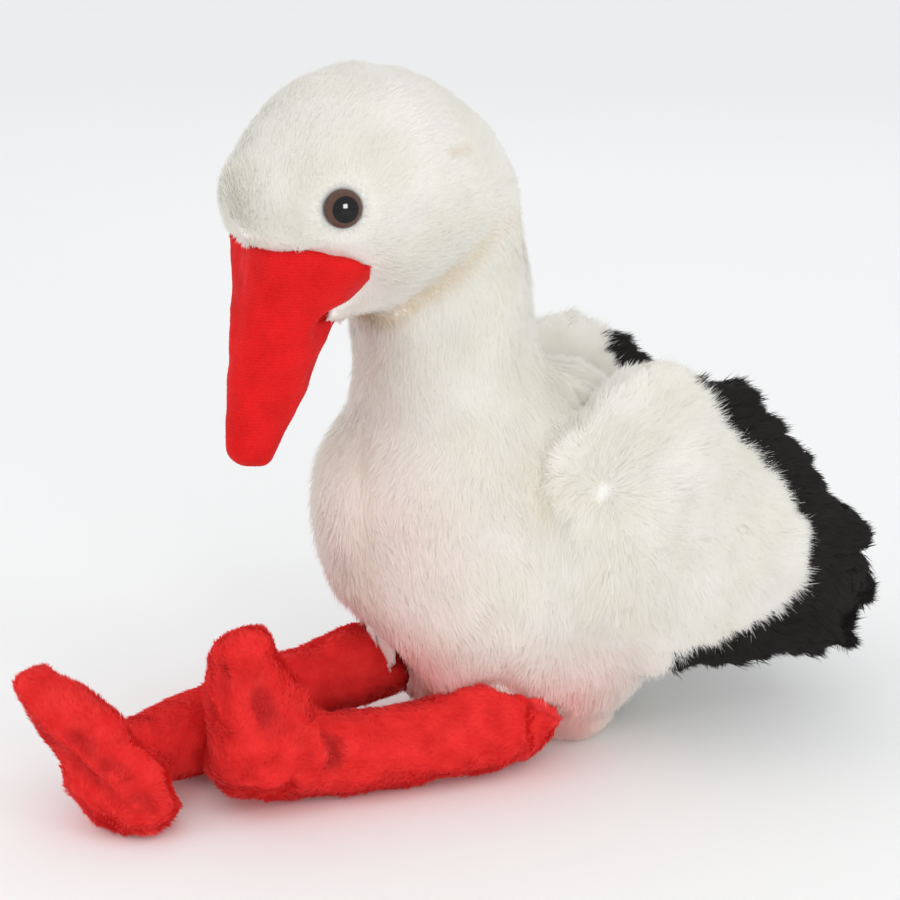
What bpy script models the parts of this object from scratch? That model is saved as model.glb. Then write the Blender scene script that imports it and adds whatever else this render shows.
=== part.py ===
"""A plush toy stork that sits on the floor with its legs stretched out in front.

Each sewn piece is a closed solid of its own, drawn out to the tips of its pile. The toy faces -Y with its
left side at +X, and it sits on the floor at z = 0 with the middle of its seat at the origin. Run with
blender --background --python part.py, or from Blender's text editor. Sizes in the tables are millimetres.
"""

import math

import bmesh
import bpy
from mathutils import Matrix, Vector

MM = 0.001
GAP = 0.3  # left between two pieces that touch
SEGMENTS = 24  # round a soft section
RINGS_PER_SPAN = 2  # between two stations of a loft
DOME_RINGS = 4  # in a rounded end
DOME_TURN = math.radians(86)  # a dome stops just short of its pole, at a small flat
BEVEL_RESOLUTION = 8  # 20 sides round a leg
SHARP_ANGLE = math.radians(40)
FLOOR_BLOCK = 0.8  # metres along each side of the block that trims pieces flat at the floor

SEAT_Y = 29  # where the middle of the seat's flat is in these tables; it becomes the origin

SIDES = {"left": 1, "right": -1}
ACROSS = Vector((1, 0, 0))
AHEAD = Vector((0, 1, 0))

# Trunk, from the seat up: height, front, back, half width
TRUNK = (
    (-2, 14, 44, 13),
    (5, -2, 61, 25),
    (18, -19, 76, 38),
    (36, -34, 81, 46),
    (58, -43, 78, 50),
    (82, -47.5, 74, 48),
    (103, -46, 68, 42),
    (117, -37, 60, 36),
)
TRUNK_DOME = 16

# Neck, from inside the trunk up into the head: y, z, radius
NECK = (
    (1, 98, 34),
    (-1, 117, 32),
    (-3, 139, 29.5),
    (-5, 162, 30),
    (-8, 180, 30),
    (-15, 194, 26),
)
NECK_DOME = 16

# Head, from the nape to the brow, before it turns: y, z, half height, half width
HEAD = (
    (6, 182, 23.5, 25),
    (-4, 186.5, 30.5, 30.5),
    (-20, 191.5, 36.8, 35.5),
    (-36, 194.5, 39.5, 37.5),
    (-54, 191.5, 32.8, 32.5),
    (-67, 188, 23.5, 25),
)
NAPE_DOME = 12
BROW_DOME = 12

# Bill, from inside the head to its tip, before it turns: y, z, half depth, half width
BILL = (
    (-49, 186, 18.5, 27),
    (-57.5, 176, 20, 28),
    (-62.5, 162, 16.5, 17.5),
    (-67.5, 149, 14.5, 13.6),
    (-71, 137, 12.3, 11.4),
    (-74.5, 126, 9.6, 9.2),
    (-77, 117, 7.4, 7.2),
)
BILL_DOME = 5.5

HEAD_TURN = 12  # degrees to the toy's own left
HEAD_PIVOT = (0, -10, 0)

# Eyes, before the head turns: where the left one's middle is, the way it looks, its radius and half depth
EYE_AT = (27.5, -60, 194.7)
EYE_LOOK = (0.93, -0.36, 0.02)
EYE_RADIUS = 6.0
EYE_HALF_DEPTH = 4.2

# Wing's rim from the front round over the top, and the edge of its white inside it: y, z
WING_RIM = (
    (6, 96), (16, 121), (42, 139), (66, 136), (91, 123), (112, 106), (127, 83),
    (147, 64), (148, 37), (122, 25), (78, 23), (44, 31), (14, 60),
)
WING_WHITE = (
    (-10, 92), (4, 140), (42, 160), (64, 137), (80, 112), (104, 88), (112, 70),
    (108, 52), (94, 40), (70, 31), (44, 26), (14, 40),
)
WING_MIDDLE = (72, 83)
WING_HALF_THICK = 14.0
WING_ROUNDING = 2.6  # how full the pad stays towards its rim
WING_RINGS = (0.12, 0.4, 0.65, 0.83, 0.94)  # shares of the way to the rim
WHITE_REACH = 40.0  # of the cutter between white and black, to each side
WING_TACK = (33, 96)  # where the wing is sewn to the trunk, and what it turns about
# Where the tack is across, degrees that the far end drops, degrees that it closes in, shift back
WINGS = {"left": (44, 0, 4, 0), "right": (42, 10, 6, 15)}

# Legs from the hip to the foot: x, y, z
LEGS = {
    "left": ((27, 20, 22), (31, 7, 15), (31, -11, 13.5), (28, -34, 13.5), (23, -68, 13.5)),
    "right": ((-24, -2, 30), (-22, -24, 24), (-18, -50, 19), (-13, -78, 15.5), (-7, -100, 14.5), (3, -118, 16.5)),
}
LEG_RADIUS = 13.8
ANKLE_SLIM = {"left": (0.9, 0.0), "right": (0.7, 0.22)}  # share of the leg where it starts to thin, and by how much

# Feet in their own frames, from the heel up to the toe: how far forwards, up, half width, half thickness
FEET_ROWS = {
    "left": (
        (-1, 5, 14, 17),
        (-2.5, 14, 18.5, 21),
        (2.5, 29, 16, 18),
        (7.5, 43, 13.5, 14),
        (9, 55, 11, 10.5),
    ),
    "right": (
        (4.5, 5, 12, 11.5),
        (5.5, 16, 15.5, 13.5),
        (5, 32, 14.5, 13.5),
        (6, 48, 12, 10.5),
        (6.5, 63, 8.5, 7.5),
    ),
}
FOOT_DOME = 6
# Where the heel is, then degrees that the toe leans outwards, leans forwards, and turns to the left
FEET = {
    "left": ((19, -76, 0), (0, 0, 22)),
    "right": ((23, -108, 0), (-38, 24, 6)),
}

# Tail, a short stuffed tab that lies across under the back of the seat: middle, radii, degrees of turn
TAIL_AT = (19, 40, 7.6)
TAIL_RADII = (13, 9.5, 8.5)
TAIL_TURN = -42

# Colours are linear; then roughness
WHITE_PLUSH = ((0.86, 0.86, 0.82), 0.95)
BLACK_PLUSH = ((0.012, 0.010, 0.008), 0.9)
RED_PLUSH = ((0.76, 0.022, 0.022), 0.9)
RED_VELOUR = ((0.68, 0.014, 0.014), 0.85)
EYE_PLASTIC = ((0.02, 0.011, 0.008), 0.12)


def smooth_between(stations, closed=False):
    """The stations with more between them, on Catmull-Rom curves."""
    rows = [Vector(row) for row in stations]
    if closed:
        rows = [rows[-1], *rows, rows[0], rows[1]]
    else:
        rows = [2 * rows[0] - rows[1], *rows, 2 * rows[-1] - rows[-2]]
    dense = []
    for before, start, end, after in zip(rows, rows[1:], rows[2:], rows[3:]):
        for step in range(RINGS_PER_SPAN):
            t = step / RINGS_PER_SPAN
            line = 2 * start + (end - before) * t
            bend = (2 * before - 5 * start + 4 * end - after) * t**2
            twist = (3 * start - before - 3 * end + after) * t**3
            dense.append(0.5 * (line + bend + twist))
    return dense if closed else dense + [rows[-2]]


def to_object(name, mesh):
    made = bpy.data.objects.new(name, mesh)
    bpy.context.scene.collection.objects.link(made)
    return made


def from_loops(name, loops, place):
    """A closed skin through loops of as many points each, with a flat face at each end."""
    mesh = bpy.data.meshes.new(name)
    shape = bmesh.new()
    rows = [[shape.verts.new(MM * (place @ point)) for point in loop] for loop in loops]
    for near, far in zip(rows, rows[1:]):
        for k in range(len(near)):
            j = (k + 1) % len(near)
            shape.faces.new((near[k], near[j], far[j], far[k]))
    shape.faces.new(rows[0])
    shape.faces.new(rows[-1])
    bmesh.ops.recalc_face_normals(shape, faces=shape.faces)
    shape.to_mesh(mesh)
    shape.free()
    return to_object(name, mesh)


def loft(name, rings, swell, place):
    """A closed skin through oval rings of (centre, side, up, half side, half up)."""
    turns = [2 * math.pi * k / SEGMENTS for k in range(SEGMENTS)]
    loops = []
    for centre, side, up, half_side, half_up in rings:
        across = side * (half_side + swell)
        over = up * (half_up + swell)
        loops.append([centre + across * math.cos(turn) + over * math.sin(turn) for turn in turns])
    return from_loops(name, loops, place)


def square_to(points, halves):
    """Rings square to a line of points in the plane of symmetry. halves are (half side, half up)."""
    rings = []
    for k, (point, (half_side, half_up)) in enumerate(zip(points, halves)):
        heading = (points[min(k + 1, len(points) - 1)] - points[max(k - 1, 0)]).normalized()
        rings.append((point, ACROSS, heading.cross(ACROSS), half_side, half_up))
    return rings


def dome(rings, length, at_start=False):
    """The rings with a rounded end."""
    if at_start:
        return dome(rings[::-1], length)[::-1]
    centre, side, up, half_side, half_up = rings[-1]
    out = (centre - rings[-2][0]).normalized()
    rounded = []
    for step in range(1, DOME_RINGS + 1):
        turn = DOME_TURN * step / DOME_RINGS
        shrink = math.cos(turn)
        rounded.append((centre + out * length * math.sin(turn), side, up, half_side * shrink, half_up * shrink))
    return rings + rounded


def ellipsoid(name, centre, radii, turn, swell, place):
    """A ball with its own three radii. turn brings it from its own axes to the toy's."""
    mesh = bpy.data.meshes.new(name)
    shape = bmesh.new()
    bmesh.ops.create_uvsphere(shape, u_segments=20, v_segments=10, radius=1)
    size = Matrix.Diagonal([radius + swell for radius in radii] + [1])
    whole = Matrix.Scale(MM, 4) @ place @ Matrix.Translation(centre) @ turn.to_4x4() @ size
    bmesh.ops.transform(shape, matrix=whole, verts=shape.verts)
    shape.to_mesh(mesh)
    shape.free()
    return to_object(name, mesh)


def head_place():
    pivot = Matrix.Translation(HEAD_PIVOT)
    return pivot @ Matrix.Rotation(math.radians(HEAD_TURN), 4, "Z") @ pivot.inverted()


def make_trunk(name, swell=0.0):
    rings = []
    for height, front, back, half_width in smooth_between(TRUNK):
        centre = Vector((0, (front + back) / 2, height))
        rings.append((centre, ACROSS, AHEAD, half_width, (back - front) / 2))
    return loft(name, dome(rings, TRUNK_DOME), swell, Matrix())


def make_neck(name, swell=0.0):
    rows = smooth_between(NECK)
    rings = square_to([Vector((0, y, z)) for y, z, _ in rows], [(radius, radius) for _, _, radius in rows])
    return loft(name, dome(rings, NECK_DOME), swell, Matrix())


def make_head(name, swell=0.0):
    rows = smooth_between(HEAD)
    rings = square_to([Vector((0, y, z)) for y, z, _, _ in rows], [(wide, high) for _, _, high, wide in rows])
    return loft(name, dome(dome(rings, BROW_DOME), NAPE_DOME, at_start=True), swell, head_place())


def make_bill(name, swell=0.0):
    rows = smooth_between(BILL)
    rings = square_to([Vector((0, y, z)) for y, z, _, _ in rows], [(wide, deep) for _, _, deep, wide in rows])
    return loft(name, dome(rings, BILL_DOME), swell, head_place())


def make_eye(name, side, swell=0.0):
    x, y, z = EYE_AT
    look_x, look_y, look_z = EYE_LOOK
    turn = Vector((SIDES[side] * look_x, look_y, look_z)).to_track_quat("Z", "Y").to_matrix()
    radii = (EYE_RADIUS, EYE_RADIUS, EYE_HALF_DEPTH)
    return ellipsoid(name, (SIDES[side] * x, y, z), radii, turn, swell, head_place())


def wing_place(side):
    across, drop, close, back = WINGS[side]
    tack = Matrix.Translation((0, *WING_TACK))
    closing = Matrix.Rotation(math.radians(SIDES[side] * close), 4, "Z")
    dropping = Matrix.Rotation(math.radians(-drop), 4, "X")
    shift = Matrix.Translation((SIDES[side] * across, back, 0))
    return shift @ tack @ closing @ dropping @ tack.inverted()


def wing_loop(outline, share=1.0, lift=0.0, swell=0.0):
    """An outline of the wing drawn in towards its middle by share, and moved out of its plane by lift."""
    middle = Vector((0, *WING_MIDDLE))
    spokes = [Vector((0, y, z)) - middle for y, z in smooth_between(outline, closed=True)]
    return [middle + spoke * share + spoke.normalized() * swell + ACROSS * lift for spoke in spokes]


def make_pad(name, side, swell=0.0):
    """The whole wing: a pad that thins from its middle to its rim, on both faces."""
    half_thick = WING_HALF_THICK + swell
    rows = [(share, -half_thick * math.sqrt(1 - share**WING_ROUNDING)) for share in WING_RINGS]
    rows += [(1.0, 0.0)] + [(share, -lift) for share, lift in reversed(rows)]
    loops = [wing_loop(WING_RIM, share, lift, swell) for share, lift in rows]
    return from_loops(name, loops, wing_place(side))


def make_white_part(name, side, swell=0.0):
    loops = [wing_loop(WING_WHITE, lift=lift, swell=swell) for lift in (-WHITE_REACH, WHITE_REACH)]
    return from_loops(name, loops, wing_place(side))


def make_leg(name, side):
    """A tube with a rounded hip end. Its other end is buried in the foot."""
    points = smooth_between(LEGS[side])
    back = (points[0] - points[1]).normalized()
    path = []
    for step in range(DOME_RINGS, 0, -1):
        turn = DOME_TURN * step / DOME_RINGS
        path.append((points[0] + back * LEG_RADIUS * 0.6 * math.sin(turn), math.cos(turn)))
    start, slim = ANKLE_SLIM[side]
    for step, point in enumerate(points):
        share = step / (len(points) - 1)
        path.append((point, 1.0 - slim * max(0.0, share - start) / (1 - start)))
    curve = bpy.data.curves.new(name, "CURVE")
    curve.dimensions = "3D"
    curve.bevel_depth = MM * LEG_RADIUS
    curve.bevel_resolution = BEVEL_RESOLUTION
    curve.use_fill_caps = True
    spline = curve.splines.new("POLY")
    spline.points.add(len(path) - 1)
    for place, (point, share) in zip(spline.points, path):
        place.co = (*(MM * point), 1)
        place.radius = share
    tube = bpy.data.objects.new(name, curve)
    mesh = bpy.data.meshes.new_from_object(tube)
    bpy.data.objects.remove(tube)
    shape = bmesh.new()
    shape.from_mesh(mesh)
    bmesh.ops.remove_doubles(shape, verts=shape.verts, dist=0.00001)
    bmesh.ops.recalc_face_normals(shape, faces=shape.faces)
    shape.to_mesh(mesh)
    shape.free()
    return to_object(name, mesh)


def make_foot(name, side, swell=0.0):
    heel, (out, lean, turn) = FEET[side]
    place = (
        Matrix.Translation(heel)
        @ Matrix.Rotation(math.radians(turn), 4, "Z")
        @ Matrix.Rotation(math.radians(out), 4, "Y")
        @ Matrix.Rotation(math.radians(lean), 4, "X")
    )
    rows = smooth_between(FEET_ROWS[side])
    points = [Vector((0, -forwards, up)) for forwards, up, _, _ in rows]
    rings = square_to(points, [(wide, thick) for _, _, wide, thick in rows])
    return loft(name, dome(dome(rings, FOOT_DOME), FOOT_DOME, at_start=True), swell, place)


def make_tail(name):
    turn = Matrix.Rotation(math.radians(TAIL_TURN), 3, "Z")
    return ellipsoid(name, TAIL_AT, TAIL_RADII, turn, 0.0, Matrix())


def make_floor(name):
    mesh = bpy.data.meshes.new(name)
    shape = bmesh.new()
    bmesh.ops.create_cube(shape, size=FLOOR_BLOCK)
    bmesh.ops.translate(shape, verts=shape.verts, vec=(0, 0, -FLOOR_BLOCK / 2))
    shape.to_mesh(mesh)
    shape.free()
    return to_object(name, mesh)


def gather(collection, pieces, origin):
    for piece in pieces:
        piece.parent = origin
        bpy.context.scene.collection.objects.unlink(piece)
        collection.objects.link(piece)


def cut(piece, *cutters, operation="DIFFERENCE"):
    for cutter in cutters:
        step = piece.modifiers.new(f"{operation.lower()} {cutter.name}", "BOOLEAN")
        step.operation = operation
        step.object = cutter
        step.solver = "EXACT"


def finish(piece, cloth):
    """Smooth shading, and a material of the piece's own."""
    colour, roughness = cloth
    material = bpy.data.materials.new(piece.name)
    material.use_nodes = True
    surface = material.node_tree.nodes["Principled BSDF"]
    surface.inputs["Base Color"].default_value = (*colour, 1)
    surface.inputs["Roughness"].default_value = roughness
    surface.inputs["Metallic"].default_value = 0
    material.diffuse_color = (*colour, 1)
    piece.data.materials.append(material)
    piece.data.shade_smooth()
    piece.data.set_sharp_from_angle(angle=SHARP_ANGLE)


def main():
    for old in list(bpy.data.objects):
        bpy.data.objects.remove(old, do_unlink=True)
    toy = bpy.data.collections.new("plush_stork")
    tools = bpy.data.collections.new("cutters")
    bpy.context.scene.collection.children.link(toy)
    bpy.context.scene.collection.children.link(tools)

    # What each neighbour is trimmed back from, a gap larger than the piece itself
    floor = make_floor("cut_floor")
    trunk_room = make_trunk("cut_trunk", GAP)
    neck_room = make_neck("cut_neck", GAP)
    head_room = make_head("cut_head", GAP)
    bill_room = make_bill("cut_bill", GAP)
    eye_room = {side: make_eye(f"cut_eye_{side}", side, GAP) for side in SIDES}
    foot_room = {side: make_foot(f"cut_foot_{side}", side, GAP) for side in SIDES}
    white_part = {side: make_white_part(f"cut_white_{side}", side) for side in SIDES}
    white_room = {side: make_white_part(f"cut_white_room_{side}", side, GAP) for side in SIDES}
    cutters = [floor, trunk_room, neck_room, head_room, bill_room]
    for room in (eye_room, foot_room, white_part, white_room):
        cutters += room.values()

    trunk = make_trunk("trunk")
    neck = make_neck("neck")
    head = make_head("head")
    bill = make_bill("bill")
    tail = make_tail("tail")
    cut(trunk, floor)
    cut(neck, trunk_room, head_room, bill_room)
    cut(head, bill_room, *eye_room.values())
    cut(tail, trunk_room, floor)
    cloths = {trunk: WHITE_PLUSH, neck: WHITE_PLUSH, head: WHITE_PLUSH, bill: RED_VELOUR, tail: WHITE_PLUSH}

    for side in SIDES:
        eye = make_eye(f"eye_{side}", side)
        wing = make_pad(f"wing_{side}", side)
        trim = make_pad(f"wing_{side}_trim", side)
        leg = make_leg(f"leg_{side}", side)
        foot = make_foot(f"foot_{side}", side)
        cut(wing, trunk_room, neck_room)
        cut(wing, white_part[side], operation="INTERSECT")
        cut(trim, trunk_room, white_room[side])
        cut(leg, trunk_room, *foot_room.values(), floor)
        cut(foot, floor)
        cloths |= {eye: EYE_PLASTIC, wing: WHITE_PLUSH, trim: BLACK_PLUSH, leg: RED_PLUSH, foot: RED_PLUSH}

    for piece, cloth in cloths.items():
        finish(piece, cloth)
    for cutter in cutters:
        cutter.hide_render = True
        cutter.display_type = "WIRE"
    origin = bpy.data.objects.new("origin", None)
    origin.location = (0, -MM * SEAT_Y, 0)
    toy.objects.link(origin)
    gather(toy, cloths, origin)
    gather(tools, cutters, origin)
    tools.hide_render = True


main()
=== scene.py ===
import math
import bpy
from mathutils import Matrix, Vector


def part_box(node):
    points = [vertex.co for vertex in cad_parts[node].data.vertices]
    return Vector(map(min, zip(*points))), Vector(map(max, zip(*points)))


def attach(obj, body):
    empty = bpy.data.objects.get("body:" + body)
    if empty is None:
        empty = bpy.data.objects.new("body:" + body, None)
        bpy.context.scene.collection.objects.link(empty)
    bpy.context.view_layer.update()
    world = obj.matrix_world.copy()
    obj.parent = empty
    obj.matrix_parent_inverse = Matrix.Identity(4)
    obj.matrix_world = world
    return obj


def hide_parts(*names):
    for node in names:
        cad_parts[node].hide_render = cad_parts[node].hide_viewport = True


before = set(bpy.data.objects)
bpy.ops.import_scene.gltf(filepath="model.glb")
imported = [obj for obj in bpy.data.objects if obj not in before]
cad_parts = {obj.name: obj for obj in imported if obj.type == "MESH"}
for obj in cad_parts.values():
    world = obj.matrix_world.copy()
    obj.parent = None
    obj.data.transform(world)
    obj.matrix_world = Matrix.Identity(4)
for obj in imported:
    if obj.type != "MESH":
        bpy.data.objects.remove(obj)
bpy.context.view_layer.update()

from types import SimpleNamespace

import bpy
import numpy as np
from mathutils import Vector

mm = 0.001
print("frame loaded:", len(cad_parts), "nodes")


def unit(vectors):
    # each vector over its own length
    return vectors / np.maximum(np.linalg.norm(vectors, axis=-1, keepdims=True), 1e-12)


def dot(first, second):
    return (first * second).sum(axis=-1, keepdims=True)


def sumAt(index, values, size):
    # for each place, the sum of the rows that name it
    return np.stack([np.bincount(index, column, size) for column in values.T], axis=1)


def smoothStep(low, high, value):
    # 0 below low, 1 above high, and 3t^2 - 2t^3 between
    share = np.clip((value - low) / (high - low), 0, 1)
    return share * share * (3 - 2 * share)


def softNoise(points, size, seed):
    # random values at the corners of cubes of that size, blended smoothly between them; about -1 to 1
    cubes = 32  # along each side, before the values repeat
    lattice = np.random.default_rng(seed).uniform(-1, 1, (cubes,) * 3)
    place = points / size + 1000.0
    corner = np.floor(place).astype(int)
    share = place - corner
    share = share * share * (3 - 2 * share)
    total = np.zeros(len(points))
    for step in np.ndindex(2, 2, 2):
        weight = np.abs(1 - np.array(step) - share)
        x, y, z = ((corner + step) % cubes).T
        total += weight[:, 0] * weight[:, 1] * weight[:, 2] * lattice[x, y, z]
    return total * 1.6


def relax(values, edges, times, share=0.5):
    # each value goes a share of the way to the mean of its neighbours, several times
    flat = values.reshape(len(values), -1).astype(float)
    here = np.concatenate([edges[:, 0], edges[:, 1]])
    there = np.concatenate([edges[:, 1], edges[:, 0]])
    count = np.maximum(np.bincount(here, minlength=len(flat)), 1)[:, None]
    for _ in range(times):
        flat = flat + share * (sumAt(here, flat[there], len(flat)) / count - flat)
    return flat.reshape(values.shape)


def pointNormals(points, tris):
    # the sum of the normals of a point's faces, each as long as its face is large
    first, second, third = (points[tris[:, k]] for k in range(3))
    across = np.cross(second - first, third - first)
    return unit(sumAt(tris.ravel(), np.repeat(across, 3, axis=0), len(points)))


def smoothNormals(skin, times):
    # the skin's normals, evened out with those round them
    return unit(relax(pointNormals(skin.points, skin.tris), skin.edges, times))


def closeTo(points, place, wide, stretch=(1, 1, 1)):
    # 1 at the place, fading round it as exp(-(gap / wide)^2)
    return np.exp(-(np.linalg.norm((points - place) * stretch, axis=1) / wide) ** 2)


def towards(values, goal, share):
    # the values, gone that share of the way to the goal
    return values + (goal - values) * share


def readValues(rows, field, width, kind=np.int32):
    # one field of every row, that many numbers of it to a row
    values = np.empty(len(rows) * width, kind)
    rows.foreach_get(field, values)
    return values.reshape(-1, width)


def readMesh(mesh):
    mesh.calc_loop_triangles()
    points = readValues(mesh.vertices, "co", 3, np.float32).astype(float)
    return points, readValues(mesh.edges, "vertices", 2), readValues(mesh.loop_triangles, "vertices", 3)


def placeObject(name, data):
    # a new object that shows the data, in the scene
    made = bpy.data.objects.new(name, data)
    bpy.context.scene.collection.objects.link(made)
    return made


def meshObject(name, points, faces, material=None):
    mesh = bpy.data.meshes.new(name)
    mesh.vertices.add(len(points))
    mesh.vertices.foreach_set("co", np.asarray(points, np.float32).ravel())
    mesh.loops.add(faces.size)
    mesh.loops.foreach_set("vertex_index", np.asarray(faces, np.int32).ravel())
    mesh.polygons.add(len(faces))
    mesh.polygons.foreach_set("loop_start", np.arange(0, faces.size, faces.shape[1], dtype=np.int32))
    mesh.update(calc_edges=True)
    mesh.shade_smooth()
    if material:
        mesh.materials.append(material)
    return placeObject(name, mesh)


def giveColour(made, name, values):
    # four numbers at each point, for the materials to read
    layer = made.data.attributes.new(name, "FLOAT_COLOR", "POINT")
    layer.data.foreach_set("color", np.asarray(values, np.float32).ravel())


def giveValue(made, name, values):
    layer = made.data.attributes.new(name, "FLOAT", "POINT")
    layer.data.foreach_set("value", values.astype(np.float32))


def addNode(tree, kind, inputs=None, **settings):
    made = tree.nodes.new("ShaderNode" + kind)
    for key, value in settings.items():
        setattr(made, key, value)
    for key, value in (inputs or {}).items():
        if isinstance(value, bpy.types.NodeSocket):
            tree.links.new(value, made.inputs[key])
        else:
            made.inputs[key].default_value = value
    return made


def blendColours(tree, share, first, second):
    return addNode(tree, "Mix", {0: share, 6: first, 7: second}, data_type="RGBA").outputs[2]


def mapped(tree, value, low, high, newLow, newHigh):
    inputs = {"Value": value, "From Min": low, "From Max": high, "To Min": newLow, "To Max": newHigh}
    return addNode(tree, "MapRange", inputs).outputs["Result"]


def addMaths(tree, kind, first, second):
    return addNode(tree, "Math", {0: first, 1: second}, operation=kind).outputs[0]


def noiseOf(tree, place, scale, detail):
    return addNode(tree, "TexNoise", {"Vector": place, "Scale": scale, "Detail": detail}).outputs["Fac"]


def pointValue(tree, name):
    # what the mesh holds under that name at each point
    return addNode(tree, "Attribute", attribute_name=name).outputs["Fac"]


def setSurface(tree, shader):
    addNode(tree, "OutputMaterial", {"Surface": shader.outputs[0]})


def newMaterial(name):
    # an empty material, its nodes and the place of a point on its object
    made = bpy.data.materials.new(name)
    made.use_nodes = True
    made.node_tree.nodes.clear()
    return made, made.node_tree, addNode(made.node_tree, "TexCoord").outputs["Object"]


plushLook = {
    # colours of the tips, of the depth, of painted bounce light and of the painted shade in a crease; how fine the
    # patches of both are, the share of light that passes through, and the sheen. On the white, the bounce is a pink
    # that stands for red light thrown back from the legs and bill, with shade under the body
    "white": {
        "pale": (0.905, 0.895, 0.865, 1), "deep": (0.865, 0.852, 0.79, 1), "stain": (0.88, 0.54, 0.5, 1),
        "shade": (0.84, 0.74, 0.57, 1), "patch": 45.0, "through": 0.35, "sheen": 0.12,
    },
    "black": {
        "pale": (0.015, 0.012, 0.0105, 1), "deep": (0.006, 0.005, 0.0045, 1), "stain": (0.05, 0.04, 0.035, 1),
        "shade": (0.004, 0.003, 0.003, 1), "patch": 60.0, "through": 0.05, "sheen": 0.06,
    },
    "red": {
        "pale": (0.95, 0.06, 0.055, 1), "deep": (0.82, 0.018, 0.018, 1), "stain": (0.92, 0.12, 0.1, 1),
        "shade": (0.46, 0.005, 0.006, 1), "patch": 160.0, "through": 0.3, "sheen": 0.1,
    },
    "velour": {
        "pale": (0.8, 0.011, 0.012, 1), "deep": (0.58, 0.005, 0.006, 1), "stain": (0.86, 0.2, 0.18, 1),
        "shade": (0.36, 0.002, 0.003, 1), "patch": 90.0, "through": 0.15, "sheen": 0.03,
    },
}


def plushMaterial(name, look):
    # lock holds a number of the tuft's own, how far along it a point is, its painted bounce light and its painted shade
    made, tree, place = newMaterial(name)
    lock = addNode(tree, "Attribute", attribute_name="lock")
    parts = addNode(tree, "SeparateColor", {"Color": lock.outputs["Color"]})
    own, along, stain = (parts.outputs[k] for k in range(3))
    share = mapped(tree, noiseOf(tree, place, look["patch"], 2.0), 0.35, 0.65, 0.0, 0.6)
    share = addMaths(tree, "ADD", share, mapped(tree, own, 0, 1, -0.08, 0.12))
    # towards its root a tuft goes to the deep colour: painted shade down in the pile, and pale tips as a painted
    # highlight
    share = addMaths(tree, "ADD", share, mapped(tree, along, 0, 1, 0.14, 0.0))
    share = addNode(tree, "Clamp", {"Value": share}).outputs[0]
    colour = blendColours(tree, share, look["pale"], look["deep"])
    colour = blendColours(tree, stain, colour, look["stain"])
    colour = blendColours(tree, lock.outputs["Alpha"], colour, look["shade"])
    pile = addNode(tree, "BsdfPrincipled", {
        "Base Color": colour, "Roughness": 0.85, "Specular IOR Level": 0.2,
        "Sheen Weight": look["sheen"], "Sheen Roughness": 0.5,
    })
    through = addNode(tree, "BsdfTranslucent", {"Color": colour})
    setSurface(tree, addNode(tree, "MixShader", {0: look["through"], 1: pile.outputs[0], 2: through.outputs[0]}))
    return made


def skinMaterial(name, pale, dark):
    # mark is 1 where the cloth is the dark one, and between 0 and 1 at a wing's tack, where it is painted shade
    made, tree, place = newMaterial(name)
    pile = noiseOf(tree, place, 900.0, 4.0)
    light = blendColours(tree, pile, pale["deep"], pale["pale"])
    deep = blendColours(tree, pile, dark["deep"], dark["pale"])
    colour = blendColours(tree, pointValue(tree, "mark"), light, deep)
    bump = addNode(tree, "Bump", {"Height": pile, "Strength": 0.4, "Distance": 0.0005})
    cloth = addNode(tree, "BsdfPrincipled", {
        "Base Color": colour, "Roughness": 0.9, "Specular IOR Level": 0.2, "Sheen Weight": 0.2,
        "Normal": bump.outputs[0],
    })
    setSurface(tree, cloth)
    return made


def ribbedMaterial(name, look, pitch):
    # velour: fine ribs across the bill, wavy and uneven, with small darker flecks where the nap lies the other way
    made, tree, place = newMaterial(name)
    wave = addNode(tree, "TexWave", {
        "Vector": place, "Scale": 0.314 / pitch, "Distortion": 2.5, "Detail": 2.0, "Detail Scale": 2.0,
    }, bands_direction="Z").outputs["Fac"]
    fleck = noiseOf(tree, place, 1400.0, 3.0)
    cloud = noiseOf(tree, place, look["patch"], 2.0)
    share = mapped(tree, wave, 0, 1, 0, 0.25)
    share = addMaths(tree, "ADD", share, mapped(tree, fleck, 0.35, 0.7, 0, 0.4))
    share = addMaths(tree, "ADD", share, mapped(tree, cloud, 0.35, 0.65, 0, 0.45))
    colour = blendColours(tree, share, look["pale"], look["deep"])
    # mark draws in the shade colour along the seam, and as painted shade just under the brow's edge
    colour = blendColours(tree, pointValue(tree, "mark"), colour, look["shade"])
    height = addMaths(tree, "ADD", addMaths(tree, "MULTIPLY", wave, 0.6), fleck)
    bump = addNode(tree, "Bump", {"Height": height, "Strength": 0.3, "Distance": 0.0004})
    cloth = addNode(tree, "BsdfPrincipled", {
        "Base Color": colour, "Roughness": 0.9, "Specular IOR Level": 0.12, "Sheen Weight": 0.05,
        "Sheen Roughness": 0.45, "Normal": bump.outputs[0],
    })
    setSurface(tree, cloth)
    return made


whitePlush = plushMaterial("whitePlush", plushLook["white"])
blackPlush = plushMaterial("blackPlush", plushLook["black"])
redPlush = plushMaterial("redPlush", plushLook["red"])
redNap = plushMaterial("redNap", plushLook["velour"])
bodyCloth = skinMaterial("bodyCloth", plushLook["white"], plushLook["black"])
legCloth = skinMaterial("legCloth", plushLook["red"], plushLook["red"])
billVelour = ribbedMaterial("billVelour", plushLook["velour"], 1.0 * mm)


def nodeShell(name, swell):
    # the node's faces with their corners joined, and each point pushed out a little along its normal
    points, _, tris = readMesh(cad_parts[name].data)
    _, first, index = np.unique(np.round(points, 6), axis=0, return_index=True, return_inverse=True)
    points, tris = points[first], index.reshape(-1)[tris]
    tris = tris[(tris[:, 0] != tris[:, 1]) & (tris[:, 1] != tris[:, 2]) & (tris[:, 0] != tris[:, 2])]
    return points + swell * pointNormals(points, tris), tris


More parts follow.
